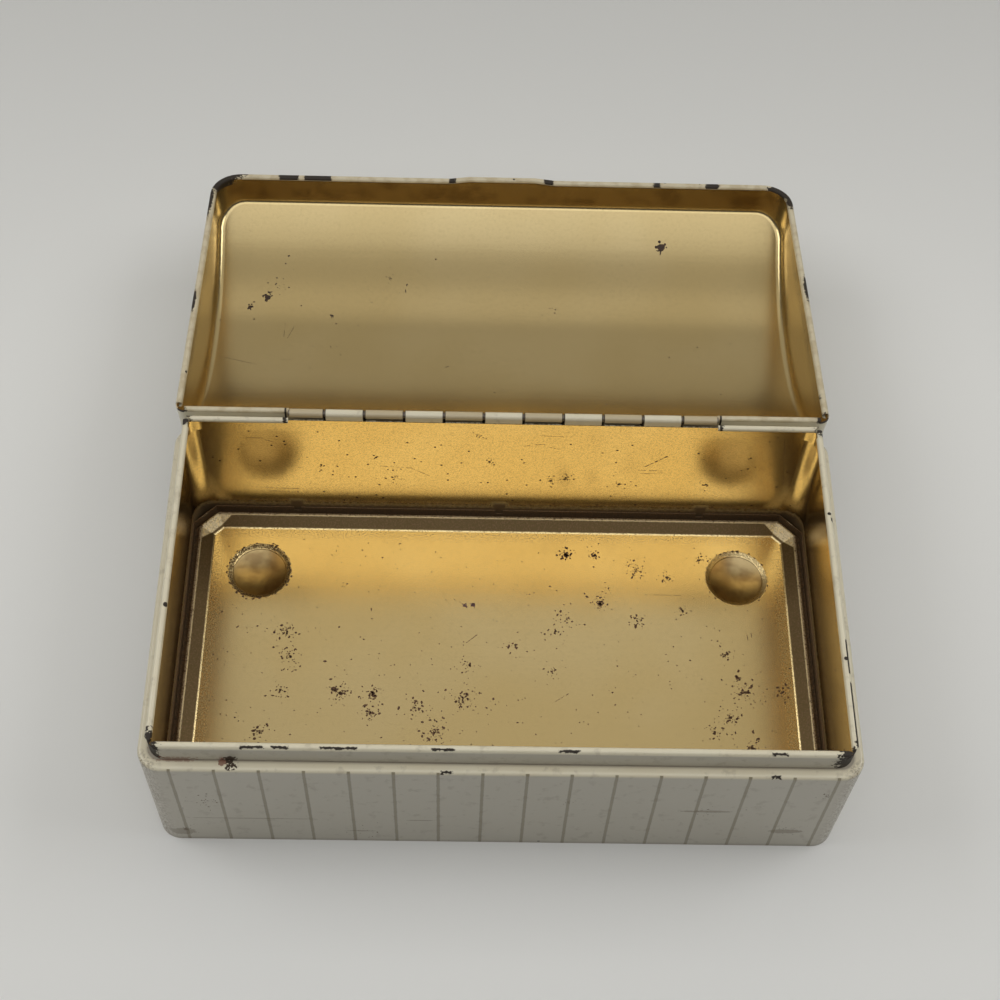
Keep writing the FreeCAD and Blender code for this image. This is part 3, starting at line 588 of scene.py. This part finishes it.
class Crusts:
    """Thin ragged flakes of rust that lie on one body, gathered in one piece."""

    def __init__(self, name, body, slot, material, seed):
        self.name, self.body, self.slot, self.material = name, body, slot, material
        self.shape = bmesh.new()
        self.dice = random.Random(seed)

    def flake(self, spot, length, width, turn=0.0, sides=7):
        """A closed flake, its long way turned from the hinge's direction; sizes in full."""
        place, facing = spot
        along = (ALONG - facing * ALONG.dot(facing)).normalized()
        along.rotate(Matrix.Rotation(turn, 3, facing))
        across = facing.cross(along)
        made = bmesh.ops.create_cone(self.shape, cap_ends=True, segments=sides, radius1=0.5,
                                     radius2=0.38, depth=1.0)["verts"]
        for corner in made:
            reach = self.dice.uniform(0.72, 1.2)
            corner.co.x *= reach
            corner.co.y *= reach
        lay = Matrix((along * length, across * width, facing * CRUST)).transposed().to_4x4()
        lift = Matrix.Translation(place + facing * (0.3 * CRUST))
        bmesh.ops.transform(self.shape, matrix=Matrix.Scale(0.001, 4) @ lift @ lay, verts=made)

    def scratch(self, surface, start, end, width):
        """A row of short flakes from start to end, broken here and there."""
        run = Vector((end[0] - start[0], end[1] - start[1]))
        steps = max(1, int(run.length / (3.0 * width)))
        turn = math.atan2(run.y, run.x)
        for step in range(steps + 1):
            if self.dice.random() < 0.18:
                continue
            at = Vector(start) + run * (step / max(1, steps))
            self.flake(surface(at.x, at.y), width * self.dice.uniform(2.4, 4.4),
                       width * self.dice.uniform(0.6, 1.2), turn, 6)

    def scatter(self, surface, centre, radius, count, small, large):
        """Specks gathered round a centre, thinning outwards."""
        for _ in range(count):
            far = radius * abs(self.dice.gauss(0.0, 0.55))
            angle = self.dice.uniform(0.0, math.tau)
            size = small + (large - small) * self.dice.random() ** 3
            self.flake(surface(centre[0] + far * math.cos(angle),
                               centre[1] + far * math.sin(angle)),
                       size * self.dice.uniform(1.0, 1.9), size, self.dice.uniform(0, math.pi), 6)

    def clump(self, surface, centre, size, count=7):
        """Overlapping flakes that make one ragged patch, `size` across."""
        self.flake(surface(*centre), size * 0.75, size * 0.6, self.dice.uniform(0, math.pi))
        for _ in range(count):
            angle, far = self.dice.uniform(0.0, math.tau), size * self.dice.uniform(0.2, 0.5)
            self.flake(surface(centre[0] + far * math.cos(angle),
                               centre[1] + far * math.sin(angle)),
                       size * self.dice.uniform(0.15, 0.5), size * self.dice.uniform(0.1, 0.3),
                       self.dice.uniform(0, math.pi), 6)

    def done(self):
        mesh = bpy.data.meshes.new(self.name)
        self.shape.to_mesh(mesh)
        self.shape.free()
        piece = bpy.data.objects.new(self.name, mesh)
        bpy.context.collection.objects.link(piece)
        mesh.materials.append(self.material)
        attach(piece, self.body)


# pits in the panel: place, length, width, turn
PANEL_PITS = (
    (-92.5, 19.1, 0.9, 0.6, 0.0), (-86.7, 13.7, 1.6, 0.5, 0.7), (-80.1, 14.1, 0.9, 0.7, 0.0),
    (-53.0, 14.2, 0.9, 0.7, 0.3), (-57.0, 1.4, 1.2, 0.9, 0.0), (-48.4, 2.2, 0.8, 0.5, 0.5),
    (-42.6, 21.1, 0.5, 1.5, 0.1), (-44.6, 9.7, 0.8, 0.6, 0.0), (-70.4, 5.8, 1.5, 0.5, 0.8),
    (-70.3, -1.8, 1.4, 0.5, 0.8), (-67.4, -2.5, 1.2, 0.4, 0.7), (-75.7, -11.5, 0.8, 0.6, 0.0),
    (-88.1, -13.2, 0.8, 0.5, 0.2), (-84.9, -19.3, 0.7, 0.6, 0.0), (-66.7, -25.0, 0.8, 0.5, 0.0),
    (-9.9, -14.4, 0.9, 0.7, 0.2), (-37.5, -25.6, 0.9, 0.5, 0.5), (-33.9, 46.8, 1.0, 0.5, 0.4),
    (-46.6, 44.0, 0.8, 0.5, 0.0), (-39.6, 41.2, 0.8, 0.6, 0.0), (-51.2, 30.7, 0.7, 0.6, 0.0),
    (6.3, -19.7, 0.9, 0.6, 0.0), (37.4, -8.5, 0.8, 0.7, 0.0), (38.1, -12.9, 0.9, 0.6, 0.4),
    (39.3, 1.2, 0.8, 0.6, 0.0), (63.5, 3.7, 0.8, 0.6, 0.0), (73.1, 11.1, 0.9, 0.6, 0.3),
    (17.4, 31.0, 0.8, 0.6, 0.0), (62.0, 22.2, 1.1, 0.7, 0.0), (96.5, 1.2, 0.8, 0.6, 0.0),
    (83.2, 12.6, 0.3, 3.4, 0.1), (84.6, 13.4, 0.25, 2.2, 0.1))
PANEL_CLUMPS = ((-53.6, -8.6, 2.6), (-40.5, -10.9, 2.2), (78.7, -2.5, 2.4), (23.2, 43.4, 1.8),
                (34.2, 24.6, 2.4))
PANEL_RUST = ((-11.4, 23.1, 2.0), (-8.5, 23.3, 2.5))
# specks in the panel: centre, radius of the cluster, count
PANEL_SPECKS = (
    (-70, 11.8, 6.6, 34), (-68.5, 2.6, 4.9, 24), (-51.5, -9.9, 4.9, 34), (-40.9, -9.7, 4.1, 26),
    (-9.3, 0.3, 4.9, 14), (-11.6, -11.9, 7.3, 42), (-20.3, -23.6, 7.2, 44),
    (-76.3, -24.5, 5.6, 20), (-41.4, -16.9, 4.8, 22), (-27, -14.9, 4.9, 22),
    (-80.8, 34.5, 5.1, 30), (-71, -9.3, 4.9, 18), (23.2, 43.4, 2.6, 30), (33, 43.6, 3.4, 16),
    (46.6, 37.9, 6.0, 26), (57.6, 35.2, 2.6, 14), (69.1, 42.3, 3.4, 12), (34.2, 24.6, 5.1, 26),
    (62, 22.2, 2.1, 10), (46.6, 18.1, 3.8, 14), (23.1, 18.2, 5.0, 12), (18.9, 13.4, 4.2, 12),
    (5.5, 8.4, 5.0, 14), (17.9, -0.6, 4.1, 10), (75.3, 5.9, 3.3, 12), (80.9, -7.7, 7.4, 40),
    (75.4, -16.8, 4.9, 22), (70.1, -22.2, 3.2, 14), (93.3, -7.5, 4.1, 16),
    (81.9, -27.3, 4.9, 24), (-82.0, 33.0, 6.5, 26), (81.5, 34.0, 5.5, 14))
BACK_SCRATCHES = (
    ((-41.5, 36.0), (-39.1, 39.0), 0.7), ((-40.0, 30.9), (-30.0, 30.0), 0.22),
    ((-30.0, 30.0), (-24.1, 25.6), 0.22), ((-79.4, 16.4), (-67.9, 16.1), 0.25),
    ((-78.2, 14.6), (-69.7, 13.9), 0.22), ((-83.6, 46.3), (-78.1, 46.2), 0.3),
    ((-76.9, 45.1), (-73.5, 43.5), 0.28), ((6.4, 44.0), (8.6, 44.5), 0.3),
    ((11.0, 45.4), (13.6, 45.4), 0.3), ((16.0, 43.6), (18.4, 42.9), 0.3),
    ((48.4, 33.8), (54.1, 39.3), 0.55), ((46.0, 31.2), (54.4, 30.9), 0.3),
    ((47.2, 29.1), (53.8, 29.7), 0.26), ((13.6, 50.3), (23.4, 50.0), 0.22),
    ((5.4, 52.0), (13.6, 50.3), 0.22), ((91.3, 51.9), (95.5, 23.6), 0.16))

BACK_SPECKS = ((-7.4, 49.6, 2.6, 12), (-3.8, 34.5, 2.4, 10), (17.3, 23.6, 3.4, 16),
               (21.9, 25.6, 3.0, 16), (-36, 24, 9, 12), (40, 22, 9, 12), (69.2, 22.7, 3, 8),
               (-60, 30, 10, 10))
FRONT_SCUFFS = ((-88, 30, 7, 12), (-97, 8, 5, 12), (62, 27, 8, 8), (20, 33, 3, 6),
                (88, 14, 6, 10), (-40, 8, 12, 8), (96, 40, 4, 8))
# the lid's marks, by the place across and out from the hinge
LID_CLUMPS = ((-84.2, 83.9, 4.4), (-90.4, 79.5, 2.8), (58.8, 106.2, 4.6), (-60.7, 76.3, 1.9))
LID_PITS = (
    (-81.7, 89.3, 1.4, 0.6, 0.9), (-77.6, 100.2, 1.2, 0.8, 0.4), (-84.6, 89.7, 0.9, 0.5, 0),
    (-81.5, 91.8, 0.8, 0.5, 0.6), (-89.1, 81.7, 1.0, 0.7, 0), (-88.5, 74.2, 0.9, 0.6, 0),
    (-34.2, 90.0, 1.2, 0.6, 1.2), (-18.9, 52.5, 1.8, 0.35, 0.5), (36, 31.8, 0.9, 0.6, 0),
    (-100.6, 73.5, 0.9, 0.6, 0), (-101.7, 81.5, 0.9, 0.6, 0), (-34.6, 87.6, 0.4, 2.2, 0.2))
LID_SCRATCHES = (((-99.0, 56.0), (-86.2, 52.1)), ((-77.3, 72.3), (-77.3, 66.6)),
                 ((-77.0, 54.6), (-74.2, 54.7)), ((-74.0, 71.0), (-75.8, 66.0)))
LID_SPECKS = ((-80, 88, 6, 12), (-40, 92, 12, 16), (-60, 60, 20, 14), (20, 80, 25, 14),
              (70, 60, 18, 12), (0, 40, 30, 12))


def add_panel_rust():
    rust = Crusts("panel_rust", "box", "gold_lacquer",
                  crust_finish("dark_rust", RUST, (0.16, 0.08, 0.035)), 7)
    for x, y, length, width, turn in PANEL_PITS:
        rust.flake(on_panel(x, y), length, width, turn)
    for x, y, size in PANEL_CLUMPS:
        rust.clump(on_panel, (x, y), size)
    for x, y, radius, count in PANEL_SPECKS:
        if abs(abs(x) - FOOT_X) > FOOT_RADIUS + 1 or abs(y - FOOT_Y) > FOOT_RADIUS + 1:
            rust.scatter(on_panel, (x, y), radius, 2 * count, 0.30, 0.95)
    for _ in range(520):
        x, y = rust.dice.uniform(-94, 94), rust.dice.uniform(-48, 49)
        if math.hypot(abs(x) - FOOT_X, y - FOOT_Y) > FOOT_RADIUS + 1.5:
            size = rust.dice.uniform(0.20, 0.48)
            rust.flake(on_panel(x, y), size * 1.4, size, rust.dice.uniform(0, math.pi), 6)
    rust.scratch(on_panel, (50.0, 28.3), (62.3, 28.3), 0.22)
    for start, end in (((-10.4, 9.2), (-7.4, 11.8)), ((19.0, -11.8), (22.6, -9.4))):
        rust.scratch(on_panel, start, end, 0.3)
    # crumbs of rust all round the pressed feet's edges
    for side, share in ((-1, 90), (1, 46)):
        for _ in range(share):
            angle = rust.dice.uniform(0, math.tau)
            far = FOOT_RADIUS + rust.dice.gauss(0.25, 0.32)
            size = rust.dice.uniform(0.2, 0.75)
            if far > FOOT_RADIUS:
                rust.flake(on_panel(side * FOOT_X + far * math.cos(angle),
                                    FOOT_Y + far * math.sin(angle)), size * 1.6, size,
                           angle + math.pi / 2, 6)
    rust.done()
    stain_and_shade = Crusts("panel_rust_red", "box", "gold_lacquer",
                   crust_finish("red_rust", (0.07, 0.035, 0.04), (0.17, 0.08, 0.06)), 3)
    for x, y, size in PANEL_RUST:
        stain_and_shade.clump(on_panel, (x, y), size, 5)
    stain_and_shade.done()


def add_wall_rust():
    rust = Crusts("wall_rust", "box", "gold_lacquer",
                  crust_finish("wall_rust", RUST, (0.14, 0.07, 0.03)), 11)
    for start, end, width in BACK_SCRATCHES:
        rust.scratch(on_back_wall, start, end, width)
    for x, z, radius, count in BACK_SPECKS:
        rust.scatter(on_back_wall, (x, z), radius, 2 * count, 0.28, 0.8)
    for x, z in ((7.5, 34.3), (81.6, 39.0), (69.2, 22.7), (-20.0, 44.0), (33.0, 41.0)):
        rust.flake(on_back_wall(x, z), 0.9, 0.6)
    rust.done()
    scuffs = Crusts("front_scuffs", "box", "body_enamel",
                    crust_finish("scuff", (0.13, 0.09, 0.06), (0.26, 0.20, 0.14)), 5)
    for x, z, radius, count in FRONT_SCUFFS:
        scuffs.scatter(on_front, (x, z), radius, 2 * count, 0.22, 0.6)
    scuffs.done()


def add_lid_rust():
    rust = Crusts("lid_rust", "lid", "gold_lacquer",
                  crust_finish("lid_rust", BARE_AND_SHADE, (0.08, 0.04, 0.02)), 23)
    for x, out, size in LID_CLUMPS:
        rust.clump(in_lid, (x, out), size, 9)
    rust.scratch(in_lid, (58.6, 104.0), (57.9, 100.8), 0.7)
    for x, out, length, width, turn in LID_PITS:
        rust.flake(in_lid(x, out), length, width, turn)
    for start, end in LID_SCRATCHES:
        rust.scratch(in_lid, start, end, 0.25)
    for x, out, radius, count in LID_SPECKS:
        rust.scatter(in_lid, (x, out), radius, count, 0.25, 0.7)
    rust.done()


add_panel_rust()
add_wall_rust()
add_lid_rust()


# ------------------------------------------------------------------ floor, light, camera

def add_floor():
    mesh = bpy.data.meshes.new("floor")
    shape = bmesh.new()
    bmesh.ops.create_grid(shape, x_segments=1, y_segments=1, size=3.0)
    shape.to_mesh(mesh)
    shape.free()
    floor = bpy.data.objects.new("floor", mesh)
    bpy.context.collection.objects.link(floor)
    f = Finish("paper_floor")
    seen = (f.node("LightPath", {}, output="Is Camera Ray")
            | f.node("LightPath", {}, output="Is Glossy Ray")
            | f.node("LightPath", {}, output="Is Transmission Ray"))
    # painted fall-off of light: the floor darkens towards the back
    behind = f.ramp(f.y, 60.0, 460.0)
    lit = f.mix(behind, FLOOR_GREY, tuple(0.8 * c for c in FLOOR_GREY))
    pale = f.mix(behind, FLOOR_SEEN, tuple(0.72 * c for c in FLOOR_SEEN))
    mesh.materials.append(f.finish(f.mix(seen, lit, pale), 0.9))


def add_panel(name, place, aim, width, height, radiance, tint=WHITE):
    """A soft rectangular lamp of an even brightness."""
    lamp = bpy.data.lights.new(name, "AREA")
    lamp.shape = "RECTANGLE"
    lamp.size, lamp.size_y = width, height
    lamp.energy = radiance * math.pi * width * height
    lamp.color = tint
    holder = bpy.data.objects.new(name, lamp)
    bpy.context.collection.objects.link(holder)
    holder.visible_camera = False
    direction = Vector(aim) - Vector(place)
    holder.matrix_world = (Matrix.Translation(place)
                           @ direction.to_track_quat("-Z", "Y").to_matrix().to_4x4())


CEILING = 1.2                     # metres above the floor


def add_ceiling(name, start, end, left, right, radiance, tint=WHITE):
    """A strip of bright ceiling, from one angle above the front to another, seen from the tin."""
    near, far = (-CEILING / math.tan(math.radians(angle)) for angle in (start, end))
    place = Vector(((left + right) / 2, (near + far) / 2, CEILING))
    add_panel(name, place, place - UP, right - left, far - near, radiance, tint)


def add_camera():
    pitch, yaw, roll = (math.radians(v) for v in (57.71, 2.41, 3.02))
    ahead = Vector((math.sin(yaw) * math.cos(pitch), math.cos(yaw) * math.cos(pitch),
                    -math.sin(pitch)))
    level = Vector((math.cos(yaw), -math.sin(yaw), 0.0))
    upright = level.cross(ahead)
    right = level * math.cos(roll) + upright * math.sin(roll)
    up = upright * math.cos(roll) - level * math.sin(roll)
    lens = bpy.data.cameras.new("camera")
    lens.sensor_width = 36.0
    lens.lens = 62.62
    camera = bpy.data.objects.new("camera", lens)
    bpy.context.collection.objects.link(camera)
    turn = Matrix((right, up, -ahead)).transposed().to_4x4()
    camera.matrix_world = Matrix.Translation((-0.01323, -0.25885, 0.51508)) @ turn
    bpy.context.scene.camera = camera


def add_world():
    world = bpy.data.worlds.new("room")
    bpy.context.scene.world = world
    world.use_nodes = True
    background = world.node_tree.nodes["Background"]
    background.inputs["Color"].default_value = (1.0, 0.97, 0.92, 1.0)
    background.inputs["Strength"].default_value = 0.06


add_floor()
add_ceiling("front_softbox", 47, 76, -0.7, 0.7, 1.2)
add_ceiling("top_panel", 76, 92, -0.7, 0.7, 0.85)
add_ceiling("middle_panel", 92, 103, -0.7, 0.7, 0.72)
add_ceiling("left_tube", 97.5, 101.5, -0.75, -0.09, 1.7)
add_ceiling("right_tube", 97.5, 101.5, 0.14, 0.75, 1.7)
add_ceiling("rear_panel", 103, 118, -0.7, 0.7, 0.33, WARM)
add_ceiling("far_panel", 118, 132, -0.7, 0.7, 0.52, WARM)
add_ceiling("left_panel", 76, 122, -1.7, -0.7, 2.8)
add_ceiling("right_panel", 76, 122, 0.7, 1.7, 2.8)
add_panel("back_panel", (0.0, 1.3, 0.72), (0.0, 0.0, 0.72), 2.6, 1.3, 0.32, WARM)
add_world()
add_camera()
bpy.context.scene.view_settings.view_transform = "Standard"
